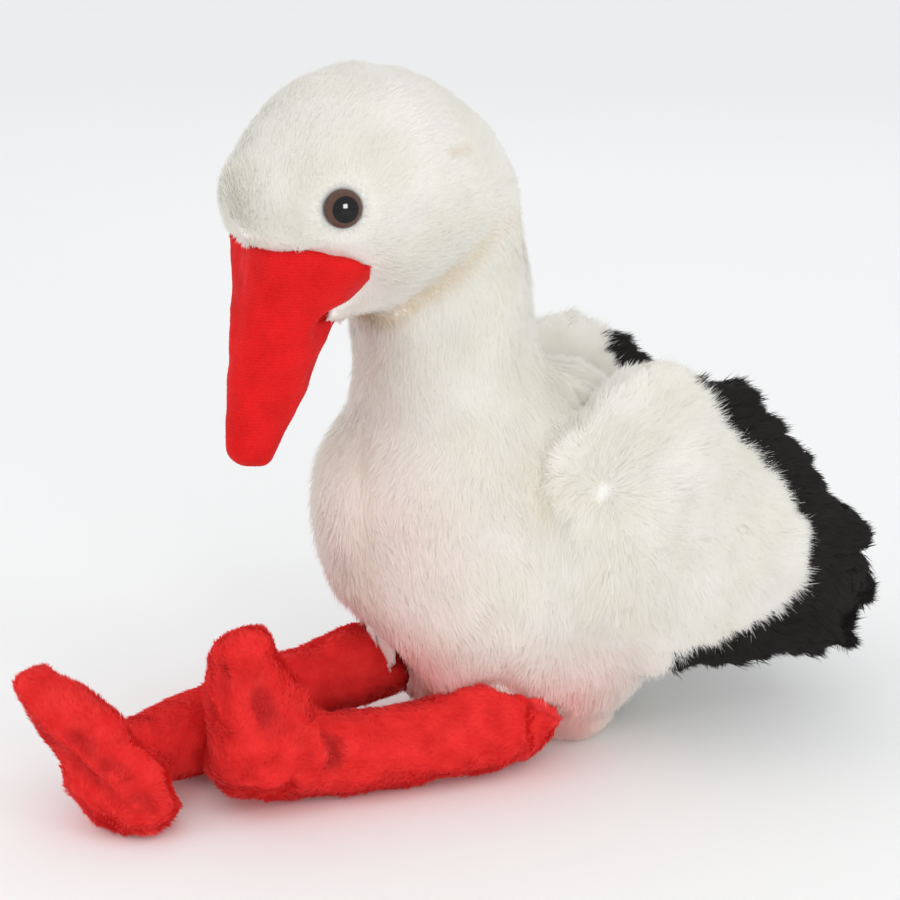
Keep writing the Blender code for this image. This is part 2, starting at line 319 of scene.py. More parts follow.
def oneShell(names, swell, voxel):
    # the nodes made one closed surface, with the number of the nearest node at each point
    points, faces, owner, start = [], [], [], 0
    most = 16  # no shell has more nodes, so a number over it can travel as a colour
    for number, name in enumerate(names):
        nodePoints, nodeTris = nodeShell(name, swell)
        points.append(nodePoints)
        faces.append(nodeTris + start)
        owner.append(np.full(len(nodePoints), number / most))
        start += len(nodePoints)
    points, faces = np.concatenate(points), np.concatenate(faces)
    raw = meshObject("rawShell", points, faces)
    giveColour(raw, "owner", np.repeat(np.concatenate(owner), 4))
    shell = meshObject("shell", points, faces)
    remesh = shell.modifiers.new("remesh", "REMESH")
    remesh.mode = "VOXEL"
    remesh.voxel_size = voxel
    graph = bpy.context.evaluated_depsgraph_get()
    smooth = bpy.data.meshes.new_from_object(shell.evaluated_get(graph))
    shell.modifiers.clear()
    shell.data = smooth
    giveColour(shell, "owner", np.zeros((len(smooth.vertices), 4)))
    copy = shell.modifiers.new("owner", "DATA_TRANSFER")
    copy.object = raw
    copy.use_vert_data = True
    copy.data_types_verts = {"COLOR_VERTEX"}
    copy.vert_mapping = "POLYINTERP_NEAREST"
    bpy.context.view_layer.update()
    done = shell.evaluated_get(bpy.context.evaluated_depsgraph_get()).data
    owner = np.round(readValues(done.attributes["owner"].data, "color", 4, np.float32)[:, 0] * most).astype(int)
    points, edges, tris = readMesh(smooth)
    quads = readValues(smooth.loops, "vertex_index", 1).reshape(-1, 4)
    for used in (raw, shell):
        bpy.data.objects.remove(used)
    return SimpleNamespace(names=names, points=points, edges=edges, tris=tris, quads=quads, owner=owner)


def ownedBy(skin, *starts):
    # true at the points of the nodes whose names start so
    return np.isin(skin.owner, [k for k, name in enumerate(skin.names) if name.startswith(starts)])


def shareOf(skin, times, *starts):
    # how much of each point belongs to those nodes, softened across their borders
    return relax(ownedBy(skin, *starts).astype(float), skin.edges, times)


def sink(skin, depth, steps=6):
    # every point goes in along its normal by its own depth, a little at a time, evened out as it goes
    for _ in range(steps):
        skin.points = skin.points - smoothNormals(skin, 2) * depth[:, None] / steps
        skin.points = relax(skin.points, skin.edges, 1, 0.3)


def finishSkin(name, skin, material, mark):
    # the skin as a piece, unwrapped, with its normals, and its map read back for the tufts
    made = meshObject(name, skin.points, skin.quads, material)
    giveValue(made, "mark", mark)
    made.data.uv_layers.new(name="OFBake")
    bpy.context.view_layer.objects.active = made
    bpy.ops.object.select_all(action="DESELECT")
    made.select_set(True)
    bpy.ops.object.mode_set(mode="EDIT")
    bpy.ops.mesh.select_all(action="SELECT")
    bpy.ops.uv.smart_project(angle_limit=math.radians(66), island_margin=0.004)
    bpy.ops.object.mode_set(mode="OBJECT")
    made.data.calc_loop_triangles()
    skin.tris = readValues(made.data.loop_triangles, "vertices", 3)
    places = readValues(made.data.uv_layers["OFBake"].uv, "vector", 2, np.float32)
    skin.uv = places[readValues(made.data.loop_triangles, "loops", 3)]
    skin.normals = smoothNormals(skin, 1)
    return made


# all tufts: how deep their roots are, how far over the floor they stay at least and at most, half a patch on the map
tuftLook = {"rooted": 0.0005, "overFloor": 0.0003, "floorSpread": 0.0006, "halfPatch": 0.0015}


def pickRoots(skin, weight, count, rng):
    # a face is chosen as often as its area times its weight says, and a point in it by two random shares
    points, tris = skin.points, skin.tris
    first, second, third = (points[tris[:, k]] for k in range(3))
    area = np.linalg.norm(np.cross(second - first, third - first), axis=1) / 2
    running = np.cumsum(area * weight[tris].mean(axis=1))
    spread = (np.arange(count) + rng.random(count)) / count * running[-1]
    picked = np.minimum(np.searchsorted(running, spread), len(tris) - 1)
    one, two = rng.random(count), rng.random(count)
    over = one + two > 1
    one, two = np.where(over, 1 - one, one), np.where(over, 1 - two, two)
    return picked, np.stack([1 - one - two, one, two], axis=1)


def growTufts(name, skin, count, look, weight, material, seed):
    # A tuft is a thin diamond of two faces: from the root it rises at the lift angle over the way of the pile to its
    # widest line, there it bends over, and its tip is drawn towards the mean tip of its clump.
    rng = np.random.default_rng(seed)
    picked, shares = pickRoots(skin, weight, count, rng)

    def here(values):
        # the value at each root, from the corners of its face
        rows = values[skin.tris[picked]]
        return (rows * (shares if rows.ndim == 2 else shares[:, :, None])).sum(axis=1)

    def wander(size, number):
        return softNoise(root, size, seed * 10 + number)

    root, normal, flow = here(skin.points), unit(here(skin.normals)), here(skin.flow)
    flow = unit(flow - normal * dot(flow, normal))

    # clumps are the cells of a wavy grid over the roots, each with a way, a length and a lift of its own
    wave = np.stack([wander(look["clumpSize"] * 1.7, k) for k in (5, 6, 7)], axis=1)
    cell = np.floor(root / look["clumpSize"] + wave * 0.8).astype(np.int64)
    cell = np.unique(cell, axis=0, return_inverse=True)[1].reshape(-1)
    ways = np.clip(rng.normal(size=(3, cell.max() + 1)), -1.8, 1.8)[:, cell]
    turn = (look["swirl"] * wander(look["swirlSize"], 1) + (look["stray"] + here(skin.wild)) * rng.normal(size=count)
            + look["clumpTurn"] * ways[0])
    turn = np.radians(turn)[:, None]
    flow = flow * np.cos(turn) + np.cross(flow, normal) * np.sin(turn)
    side = np.cross(flow, normal)
    length = here(skin.length) * (1 + look["uneven"] * (rng.random(count) - 0.5)) * (1 + look["clumpLength"] * ways[1])
    lift = (here(skin.lift) + look["ruffle"] * wander(look["ruffleSize"], 3) + 5 * rng.normal(size=count)
            + look["clumpLift"] * ways[2])
    lift = np.radians(np.clip(lift + look["rise"] * rng.random(count) ** 5, 3, 88))[:, None]
    bend = np.radians(here(skin.bend) * (0.7 + 0.6 * rng.random(count)))[:, None]
    curl = (look["curl"] * rng.normal(size=count))[:, None]
    low = unit(normal * np.sin(lift) + flow * np.cos(lift))
    high = unit(normal * np.sin(lift - bend) + flow * np.cos(lift - bend) + side * curl)
    start = root - normal * tuftLook["rooted"]
    middle = start + low * length[:, None] * 0.5
    tip = middle + high * length[:, None] * 0.5

    share = 1 / np.bincount(cell)[:, None]
    pull = look["clump"] * (0.5 + rng.random(count))[:, None]
    tip = tip + pull * ((sumAt(cell, tip, len(share)) * share)[cell] - tip)
    middle = middle + 0.35 * pull * ((sumAt(cell, middle, len(share)) * share)[cell] - middle)

    # a blade turns a little about its own line
    along = unit(tip - start)
    across = unit(np.cross(along, normal))
    roll = np.radians(look["roll"] * rng.normal(size=count))[:, None]
    across = across * np.cos(roll) + np.cross(along, across) * np.sin(roll)
    outward = np.cross(across, along)
    half = across * (look["width"] * (0.7 + 0.6 * rng.random(count)) / 2)[:, None]
    points = np.stack([start, middle - half, middle + half, tip], axis=1)
    lowest = tuftLook["overFloor"] + tuftLook["floorSpread"] * rng.random((count, 1))
    points[:, :, 2] = np.maximum(points[:, :, 2], lowest)
    faces = np.array([[0, 2, 1], [1, 2, 3]])[None] + 4 * np.arange(count)[:, None, None]
    made = meshObject(name, points.reshape(-1, 3), faces.reshape(-1, 3), material)
    lock = np.stack([np.repeat(rng.random(count), 4), np.tile([0, 0.5, 0.5, 1], count),
                     np.repeat(here(skin.stain), 4), np.repeat(here(skin.shade), 4)], axis=1)
    giveColour(made, "lock", lock)
    # each tuft is a small patch at its root's place on the skin's own map
    place = (skin.uv[picked] * shares[:, :, None]).sum(axis=1)
    patch = np.array([[0, -1], [-1, 0], [1, 0], [0, 1]]) * tuftLook["halfPatch"]
    uv = (place[:, None] + patch[None]).reshape(-1, 2)[faces.ravel()]
    made.data.uv_layers.new(name="OFBake").uv.foreach_set("vector", uv.astype(np.float32).ravel())
    # shaded partly as the skin under it, so that the pile looks soft
    shade = unit(normal * (1 - look["own"]) + outward * look["own"])
    made.data.normals_split_custom_set_from_vertices(np.repeat(shade, 4, axis=0))
    return made


def middleOf(name):
    low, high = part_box(name)
    return np.array((low + high) / 2)


def nearPath(points, path, stretch=(1, 1, 1)):
    # the gap between each point and the nearest straight run of the path, and how far along the path that is, 0 to 1
    points, path = points * stretch, np.array(path, float) * stretch
    best, along, done = np.full(len(points), 1e9), np.zeros(len(points)), 0.0
    runs = np.linalg.norm(np.diff(path, axis=0), axis=1)
    for first, last, run in zip(path[:-1], path[1:], runs):
        share = np.clip((points - first) @ (last - first) / run**2, 0, 1)
        gap = np.linalg.norm(points - first - share[:, None] * (last - first), axis=1)
        along = np.where(gap < best, (done + share * run) / runs.sum(), along)
        best, done = np.minimum(best, gap), done + run
    return best, along


def furrow(points, crease):
    # 1 on the crease's path, fading as exp(-(gap / width)^2) beside it and smoothly to nothing at its ends
    gap, along = nearPath(points, crease["path"], crease.get("stretch", (1, 1, 1)))
    ends = 1.0 if crease.get("blunt") else smoothStep(0, 0.3, along) * smoothStep(1, 0.7, along)
    return np.exp(-(gap / crease["width"]) ** 2) * ends


def creased(points, creases):
    # how deep the creases cut in at each point, and how much they shade it
    cut, shade = np.zeros(len(points)), np.zeros(len(points))
    for crease in creases:
        mark = furrow(points, crease)
        cut, shade = cut + crease["depth"] * mark, shade + crease["shade"] * mark
    return cut, shade


def fillHollows(skin, where, times):
    # hollows fill up: a point goes towards the mean of its neighbours only as far as that takes it outwards
    points = skin.points
    for turn in range(times):
        if turn % 8 == 0:
            normals = pointNormals(points, skin.tris)
        outwards = np.maximum(dot(relax(points, skin.edges, 1) - points, normals), 0)
        points = points + normals * outwards * where[:, None]
    skin.points = points


def pushOut(skin, pushes, mirrored=False, only=1.0):
    # a point moves by a push times exp(-(its gap to the place / how wide it is)^2)
    for place, wide, push in pushes:
        for turn in (1, -1) if mirrored else (1,):
            share = closeTo(skin.points, np.array(place) * (turn, 1, 1), wide * mm) * only
            skin.points = skin.points + share[:, None] * np.array(push) * (turn * mm, mm, mm)


def comb(skin, times):
    # the way of the pile laid along the skin and evened out
    for _ in range(2):
        flow = skin.flow - skin.normals * dot(skin.flow, skin.normals)
        skin.flow = relax(unit(flow), skin.edges, times)


def pileHeight(skin):
    # how far the tips stand over the shell: half the length at the lift, half at what the bend leaves of it
    lift = np.radians(skin.lift)
    return skin.length / 2 * (np.sin(lift) + np.sin(np.maximum(lift - np.radians(skin.bend), 0)))


def tuckIn(skin, name, reach, keep):
    # what the shell has past the border of the named node is drawn back along that node, so that it stays inside it
    own = ownedBy(skin, name).astype(float)
    edge = relax(own, skin.edges, 2)
    start = skin.points[(edge > 0.3) & (edge < 0.7)].mean(axis=0)
    along = unit(skin.points[own > 0].mean(axis=0) - start)
    past = np.maximum((skin.points - start) @ along - reach, 0)
    skin.points = skin.points - along * (own * past * (1 - keep))[:, None]


bodyNodes = ("trunk", "neck", "head", "tail", "wing_left", "wing_left_trim", "wing_right", "wing_right_trim")
shellNodes = bodyNodes + ("bill", "leg_left", "leg_right")  # the cloth runs on a little way under these three

# for each part: the pile's length (mm), then its lift and how far it bends over (degrees)
bodyPile = {
    "trunk": {"length": 8.0, "lift": 27, "bend": 16},
    "neck": {"length": 6.5, "lift": 27, "bend": 16},
    "head": {"length": 4.8, "lift": 30, "bend": 16},
    "tail": {"length": 5.0, "lift": 34, "bend": 18},
    "wing_left": {"length": 8.5, "lift": 26, "bend": 14},
    "wing_right": {"length": 8.5, "lift": 26, "bend": 14},
    "wing_left_trim": {"length": 11.5, "lift": 27, "bend": 12},
    "wing_right_trim": {"length": 11.5, "lift": 27, "bend": 12},
    "bill": {"length": 4.8, "lift": 40, "bend": 16},
    "leg_left": {"length": 8.0, "lift": 20, "bend": 10},
    "leg_right": {"length": 8.0, "lift": 20, "bend": 10},
}
# how deep the shell lies under these three, and how far on it goes (mm)
underSkins = {
    "bill": {"depth": 3.0, "reach": 3.0},
    "leg_left": {"depth": 6.5, "reach": 4.0},
    "leg_right": {"depth": 6.5, "reach": 3.0},
}
# the pile's length (m) on the black, beside it, round the bill, under the chin, by the legs and at a wing's tack
pileAt = {"black": 0.01, "border": 0.0058, "bill": 0.0027, "chin": 0.0028, "legs": 0.0048, "tack": 0.007}
tacks = {"left": np.array([0.047, 0.004, 0.096]), "right": np.array([-0.045, 0.012, 0.096])}

# how far a wing's white reaches from its tack: turns up from straight back (degrees), and millimetres
whiteReach = {
    "turns": (-180, -78, -73, -68, -58, -52, -45, -37, -30, -23, -14, -6, 2, 11, 20, 30, 40, 50, 54, 58, 180),
    "turned": {"left": 0, "right": 9},  # the right wing's black ends lower on its upper edge
    "reach": (200, 200, 74, 65, 67, 71, 77, 83, 85, 83, 78, 70, 60, 54, 49, 45, 45, 46, 58, 200, 200),
    "feather": 4.5,  # how much further the tips of the white reach than its roots
    "fade": 1.3,  # over how much to each side the roots of both colours mix
}

# creases of the sewn shell: the path, how wide and how deep they are, and how much they shade the pile
bodyCreases = {
    "chestSeam": {"path": ((0.004, -0.061, 0.134), (0.0075, -0.064, 0.12), (0.017, -0.068, 0.107),
                           (0.02, -0.071, 0.084), (0.013, -0.069, 0.056)),
                  "width": 0.0028, "depth": 0.0016, "shade": 0.12},
    "headFold": {"path": ((0.0383, -0.0503, 0.2076), (0.035, -0.043, 0.2085), (0.0305, -0.0343, 0.2075)),
                 "width": 0.0013, "depth": 0.0024, "shade": 0.42},
    "wingPocket": {"path": ((0.0317, -0.0104, 0.12), (0.0384, -0.0194, 0.109), (0.0486, -0.0194, 0.099),
                            (0.05, -0.017, 0.088)),
                   "width": 0.006, "depth": 0.0014, "shade": 0.22},
    "hipFoldFront": {"path": ((0.0475, -0.034, 0.07), (0.0455, -0.038, 0.064), (0.043, -0.041, 0.055)),
                     "width": 0.0024, "depth": 0.0014, "shade": 0.18},
    "hipFoldBack": {"path": ((0.0475, -0.034, 0.07), (0.049, -0.03, 0.063), (0.048, -0.025, 0.054)),
                    "width": 0.0024, "depth": 0.0013, "shade": 0.18},
}
# folds that leave a wing's tack: how far back and up they run to, from there on, and the same three numbers
tackFolds = {
    "front": ((-0.003, 0.002), (-0.018, 0.01), 0.0032, 0.0014, 0.12),
    "down": ((-0.001, -0.003), (-0.01, -0.036), 0.003, 0.0016, 0.14),
    "downBack": ((0.002, -0.006), (0.008, -0.048), 0.0034, 0.0016, 0.14),
    "back": ((0.004, -0.001), (0.036, -0.01), 0.003, 0.0009, 0.06),
    "backLow": ((0.004, -0.003), (0.03, -0.028), 0.003, 0.001, 0.06),
    "up": ((0.001, 0.004), (0.014, 0.026), 0.0032, 0.0008, 0.05),
}
tackDimple = {"width": 0.006, "depth": 0.0012, "shade": 0.04}
tackMost = {"depth": 0.0018, "shade": 0.22}  # of all its folds together
cheekFold = {"depth": 0.0018, "shade": 0.8}  # where the head meets the neck
# the cheek's fluff laps the back of the bill under a line that falls forwards, but not below its lowest height
chin = {"middle": (0.014, -0.073, 0.159), "reach": 0.014, "lowest": 0.157,
        "forwards": (-0.09, -0.081, -0.078, -0.074, -0.07), "height": (0.1495, 0.1588, 0.1608, 0.1632, 0.165)}
# the brow's edge over the bill: its height from the front of the bill to the back
brow = {"forwards": (-0.105, -0.1025, -0.099, -0.0945, -0.092, -0.086, -0.082, -0.078, -0.0735),
        "height": (0.1812, 0.1826, 0.1834, 0.1838, 0.184, 0.1826, 0.1819, 0.1807, 0.178)}

bodySkin = oneShell(shellNodes, swell=0.4 * mm, voxel=1.9 * mm)
print("body shell:", len(bodySkin.points), "points")

bodySkin.points = relax(bodySkin.points, bodySkin.edges, 6)
onHead, onNeck, onTrunk, onTail, onLeft, onRight, onBill = (
    shareOf(bodySkin, 8, name) for name in ("head", "neck", "trunk", "tail", "wing_left", "wing_right", "bill"))
onLegs = shareOf(bodySkin, 4, "leg_")
sewn = smoothStep(0.5, 0.0, shareOf(bodySkin, 24, "head", "bill", "leg_", "tail"))
back = smoothStep(0.075, 0.1, bodySkin.points[:, 2])
underChin = [closeTo(bodySkin.points, np.array(chin["middle"]) * (turn, 1, 1), chin["reach"]) for turn in (-1, 1)]
fillHollows(bodySkin, np.maximum(sewn * (0.35 + 0.65 * back), np.clip(2 * np.maximum(*underChin), 0, 1)), times=110)
points = bodySkin.points
betweenWings = smoothStep(0.058, 0.05, np.abs(points[:, 0])) * smoothStep(0.08, 0.1, points[:, 2])
betweenWings *= smoothStep(-0.045, -0.025, points[:, 1]) * smoothStep(0.085, 0.06, points[:, 1]) * sewn
nape = smoothStep(-0.045, -0.01, points[:, 1]) * smoothStep(0.15, 0.158, points[:, 2])
fillHollows(bodySkin, np.maximum(betweenWings, nape), times=420)
evened = relax(bodySkin.points, bodySkin.edges, 12)
bodySkin.points += (evened - bodySkin.points) * np.clip(2 * np.maximum(betweenWings, nape), 0, 1)[:, None]
print("hollows filled")


def onChin(points, spread):
    # 1 where the cheek's fluff lies over the bill, 0 elsewhere, over a border of that spread
    line = np.interp(points[:, 1], chin["forwards"], chin["height"]) + 0.0007 * softNoise(points, 0.004, 5)
    return smoothStep(-spread, spread, line - points[:, 2]) * smoothStep(-spread, spread, points[:, 2] - chin["lowest"])


def onBrow(points, spread):
    # 1 above the brow's edge, 0 below it
    line = np.interp(points[:, 1], brow["forwards"], brow["height"]) + 0.0005 * softNoise(points, 0.004, 6)
    return smoothStep(-spread, spread, points[:, 2] - line)


headNumber, billNumber = shellNodes.index("head"), shellNodes.index("bill")
above = onBrow(bodySkin.points, 0.0003) > 0.5
lapping = (bodySkin.owner == billNumber) & ((onChin(bodySkin.points, 0.0003) > 0.5) | above)
shown = (bodySkin.owner == headNumber) & ~above & (shareOf(bodySkin, 5, "bill") > 0.02)
shown &= bodySkin.points[:, 1] < -0.086
bodySkin.owner[lapping], bodySkin.owner[shown] = headNumber, billNumber
onHead, onBill = (shareOf(bodySkin, 8, name) for name in ("head", "bill"))

# the rims of the wings are stuffed further out than their pads: where, how wide (mm) and which way (mm)
rimPushes = (
    ((0.05, 0.088, 0.04), 15, (0, 5.0, -7.0)),
    ((0.05, 0.056, 0.122), 14, (0, 1.5, 3.0)),
    ((0.05, 0.098, 0.082), 12, (0, 1.5, 1.5)),
    ((0.045, 0.103, 0.064), 11, (0, 5.0, 0)),
    ((0.044, 0.103, 0.042), 9, (0, -8.0, 0)),
    ((0.044, 0.097, 0.029), 10, (0, 8.5, -4.0)),
    ((0.046, 0.034, 0.134), 9, (0, 0, 2.0)),
)
pushOut(bodySkin, rimPushes, mirrored=True)
# the belly draws in over the far leg and over the near thigh, the brow beside the bill's corner too; the chin is fuller
pushOut(bodySkin, (
    ((0.001, -0.062, 0.032), 18, (0, 16.0, 4.0)),
    ((0.037, -0.032, 0.029), 10, (-3.5, 1.0, 3.0)),
    ((0.006, -0.106, 0.187), 13, (0, 1.5, 1.0)),
))
pushOut(bodySkin, (((0.02, -0.074, 0.158), 8, (0, -0.5, -2.2)),), mirrored=True)
# where a leg is stuffed further out, or drawn in: where, how wide (mm) and which way (mm)
legPushes = {
    "left": (
        ((0.035, -0.034, 0.026), 13, (2.0, 0, 7.0)),
        ((0.043, -0.009, 0.017), 10, (-2.5, -6.5, 0)),
        ((0.04, -0.021, 0.024), 8, (0.5, 0, 2.0)),
        ((0.016, -0.121, 0.061), 7, (0, 3.5, -2.0)),
        ((0.033, -0.094, 0.004), 11, (0, 0, 2.5)),
        ((0.034, -0.055, 0.004), 11, (0, 0, 1.2)),
    ),
    "right": (
        ((-0.021, -0.062, 0.036), 12, (0, 0, 2.0)),
        ((-0.016, -0.052, 0.027), 16, (4.0, 14.0, -1.5)),
        ((-0.003, -0.171, 0.046), 12, (0, 2.5, -1.0)),
    ),
}
# what runs on under the legs goes with the legs' ends
for side, pushes in legPushes.items():
    pushOut(bodySkin, pushes, only=shareOf(bodySkin, 2, "leg_" + side))

# creases, dimples and soft lumps, all measured on the shell before it goes in
normals = smoothNormals(bodySkin, 3)
points = bodySkin.points
creases = list(bodyCreases.values())
creases += [{**crease, "path": np.array(crease["path"]) * (-1, 1, 1)}
            for name, crease in bodyCreases.items() if name != "chestSeam"]
for tack in tacks.values():
    for near, far, width, depth, dark in tackFolds.values():
        path = [tack + (0, *near), tack + (0, *far)]
        creases.append({"path": path, "width": width, "depth": depth, "shade": dark, "stretch": (0.3, 1, 1)})
    creases.append({"path": [tack - (0.01, 0, 0), tack + (0.01, 0, 0)], "blunt": True, **tackDimple})
cut, shade = creased(points, creases)
# where a wing's folds meet at its tack they don't add up
meet = sum(closeTo(points, tack, 0.009, (0.3, 1, 1)) for tack in tacks.values())
cut -= meet * np.maximum(cut - tackMost["depth"], 0)
shade -= meet * np.maximum(shade - tackMost["shade"], 0)
cheek = np.clip(4 * onHead * onNeck, 0, 1) ** 2 * (1 - 0.8 * smoothStep(-0.055, -0.02, points[:, 1]))
cut, shade = cut + cheekFold["depth"] * cheek, shade + cheekFold["shade"] * cheek
lumps = 0.0009 * softNoise(points, 0.021, 3) + 0.0004 * softNoise(points, 0.009, 4)
cut -= lumps * (1 - 0.7 * onHead) * (1 - onBill) * (1 - onLegs)
bodySkin.points = points - normals * cut[:, None]


points = bodySkin.points
for key, scale in (("length", mm), ("lift", 1), ("bend", 1)):
    # the value for each point's part, softened across the borders
    values = np.array([bodyPile[name][key] for name in shellNodes], float)[bodySkin.owner]
    setattr(bodySkin, key, relax(values, bodySkin.edges, 14) * scale)


def growTo(place, share):
    # the body's pile takes that place's length, by that share
    bodySkin.length = towards(bodySkin.length, pileAt[place], share)


# the white ends where its reach from the tack does; the pile is longest on the black and short beside it
onWings = ownedBy(bodySkin, "wing")
black, fade = np.zeros(len(points)), whiteReach["fade"] * mm
for side, tack in tacks.items():
    away = points - tack
    turns = np.degrees(np.arctan2(away[:, 2], away[:, 1])) + whiteReach["turned"][side] * (away[:, 2] > 0)
    reach = np.interp(turns, whiteReach["turns"], whiteReach["reach"]) * mm
    gap = np.hypot(away[:, 1], away[:, 2]) - reach + 0.0022 * softNoise(points, 0.007, 8)
    here = onWings & (np.sign(points[:, 0]) == np.sign(tack[0]))
    black = np.where(here, smoothStep(-fade, fade, gap + whiteReach["feather"] * mm), black)
black = relax(black, bodySkin.edges, 1)
growTo("black", black)
atBorder = np.clip(3 * relax(black, bodySkin.edges, 8), 0, 1) * (1 - black)
growTo("border", atBorder)

# round the eyes the pile is short and leans away, and at the bill it stands up as a dense edge
eyeGap, fromEyes = np.full(len(points), 1.0), 0 * points
for name in ("eye_left", "eye_right"):
    away = points - middleOf(name)
    gap = np.linalg.norm(away, axis=1)
    near = 1 - smoothStep(0.006, 0.014, gap)
    fromEyes += near[:, None] * unit(away)
    bodySkin.length *= 1 - 0.5 * near
    eyeGap = np.minimum(eyeGap, gap)
byBill = smoothStep(0.02, 0.4, shareOf(bodySkin, 7, "bill")) * (1 - black)
growTo("bill", byBill)
bodySkin.lift = towards(bodySkin.lift, 34, byBill)
byChin = np.clip(1.4 * np.maximum(*underChin), 0, 1) * onHead
growTo("chin", byChin)
byLegs = smoothStep(0.02, 0.4, shareOf(bodySkin, 10, "leg_"))
growTo("legs", byLegs)
byTack = sum(closeTo(points, tack, 0.0035, (0.4, 1, 1)) for tack in tacks.values())
growTo("tack", byTack)
bodySkin.lift = towards(bodySkin.lift, 34, byTack)
bodySkin.wild = 12 * byTack  # there the pile lies a little every way

depth = pileHeight(bodySkin)
normals = pointNormals(points, bodySkin.tris)
for tack, onWing in zip(tacks.values(), (onLeft, onRight)):
    # round a wing's rim the pile runs straight out, so the shell stops well short of its tips
    rim = smoothStep(0.35, 0.9, dot(unit((points - tack) * (0, 1, 1)), normals)[:, 0]) * onWing
    depth += rim * (0.78 * bodySkin.length - depth)
for name, under in underSkins.items():
    depth[ownedBy(bodySkin, name)] = under["depth"] * mm
sink(bodySkin, relax(depth, bodySkin.edges, 4))
for name, under in underSkins.items():
    tuckIn(bodySkin, name, under["reach"] * mm, keep=0.08)

# ways of the pile: back over the head from the bill, down the neck and trunk, out from each wing's tack
points = bodySkin.points
billBase = middleOf("bill") + (0, 0.004, 0.026)
backFromBill = unit(points - billBase)
down = unit(np.array([0, 0.15, -1.0]) + 0 * points)
fromLeftTack, fromRightTack = (
    unit(unit(points - tack) + (0, 0.3, -0.15)
         + smoothStep(0.004, -0.012, points[:, 1] - tack[1])[:, None] * (0, 0.2, -0.5))
    for tack in tacks.values())
fromChin = unit(points - (middleOf("head") - (0, 0.0, 0.01)))
fromTrunk = unit(points - (middleOf("tail") - (0, 0.01, 0)))
bodySkin.flow = (backFromBill * (onHead + onBill)[:, None] + down * (onNeck + onTrunk + onLegs)[:, None]
                 + fromTrunk * onTail[:, None] + fromLeftTack * onLeft[:, None] + fromRightTack * onRight[:, None]
                 + 3 * fromEyes + 2 * fromChin * np.maximum(*underChin)[:, None]
                 + 5 * unit(middleOf("bill") - (0, 0, 0.01) - points) * byBill[:, None])
# painted bounce light on the white pile: pink towards the belly, along the tops of the legs, between them and beside
# the bill, for red light thrown back from the legs and bill and for shade under the body; a patch on the chest is
# tinted the same way
belly = smoothStep(0.065, 0.02, points[:, 2])
legLines = (((0.04, -0.01, 0.018), (0.034, -0.035, 0.02), (0.028, -0.06, 0.022)),
            ((-0.024, -0.031, 0.03), (0.0, -0.058, 0.03)))
byLines = sum(np.exp(-(nearPath(points, line)[0] / 0.026) ** 2) for line in legLines)
bodySkin.stain = np.clip(1.3 * shareOf(bodySkin, 70, "leg_") ** 0.7 * belly + 0.6 * byLines
                         + 0.5 * closeTo(points, (0.019, -0.058, 0.04), 0.016)
                         + 0.5 * shareOf(bodySkin, 24, "bill") * (1 - byBill) * (points[:, 2] < 0.185)
                         + 0.19 * closeTo(points, (0.022, -0.066, 0.084), 0.032), 0, 0.8)
# painted shade: on the pile in the creases and a little more at each wing's tack, and on the cloth at each tack (mark)
bodySkin.shade = np.clip(shade + 0.12 * byTack, 0, 0.8)

body = finishSkin("bodySkin", bodySkin, bodyCloth, np.maximum(black, 0.55 * byTack))
comb(bodySkin, 10)
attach(body, "root")
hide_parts(*bodyNodes)
print("body skin done")

bare = ownedBy(bodySkin, *underSkins).astype(float)
white = (1 - smoothStep(0.2, 0.6, black)) * (1 - bare)
clear = smoothStep(0.0054, 0.0064, eyeGap)
smoothPile = {"width": 0.00034, "swirl": 18, "swirlSize": 0.016, "stray": 10, "ruffle": 5, "ruffleSize": 0.01,
              "curl": 0.15, "uneven": 0.3, "roll": 11, "own": 0.05, "rise": 14,
              "clump": 0.18, "clumpSize": 0.003, "clumpTurn": 3, "clumpLength": 0.04, "clumpLift": 1.2}
softPile = {"width": 0.00037, "swirl": 30, "swirlSize": 0.022, "stray": 10, "ruffle": 6, "ruffleSize": 0.012,
            "curl": 0.2, "uneven": 0.5, "roll": 12, "own": 0.06, "rise": 14,
            "clump": 0.3, "clumpSize": 0.0045, "clumpTurn": 5, "clumpLength": 0.07, "clumpLift": 2}
edgePile = {**softPile, "width": 0.00024, "stray": 13, "swirl": 14, "rise": 4, "clump": 0.12, "uneven": 0.7}
shagPile = {"width": 0.0004, "swirl": 20, "swirlSize": 0.014, "stray": 8, "ruffle": 6, "ruffleSize": 0.008,
            "curl": 0.16, "uneven": 0.4, "roll": 22, "own": 0.4, "rise": 2,
            "clump": 0.5, "clumpSize": 0.0075, "clumpTurn": 11, "clumpLength": 0.15, "clumpLift": 7}
onEdge = np.clip(1.6 * atBorder, 0, 1)
onField = white * (1 - 0.5 * byTack) * (1 - onEdge)
bodyFur = {
    "headFur": {"share": onHead * white * clear, "seed": 11, "tufts": 94000, "look": smoothPile},
    "neckFur": {"share": onNeck * white, "seed": 12, "tufts": 66000, "look": smoothPile},
    "trunkFur": {"share": onTrunk * white, "seed": 13, "tufts": 86000, "look": softPile},
    "wingLeftFur": {"share": onLeft * onField, "seed": 14, "tufts": 80000, "look": softPile},
    "wingRightFur": {"share": onRight * onField, "seed": 15, "tufts": 52000, "look": softPile},
    "edgeLeftFur": {"share": onLeft * white * onEdge, "seed": 19, "tufts": 24000, "look": edgePile},
    "edgeRightFur": {"share": onRight * white * onEdge, "seed": 20, "tufts": 16000, "look": edgePile},
    "tailFur": {"share": onTail * white, "seed": 16, "tufts": 9000, "look": smoothPile},
    "trimLeftFur": {"share": onLeft * smoothStep(0.3, 0.8, black), "seed": 17, "tufts": 74000, "look": shagPile},
    "trimRightFur": {"share": onRight * smoothStep(0.3, 0.8, black), "seed": 18, "tufts": 46000, "look": shagPile},
}
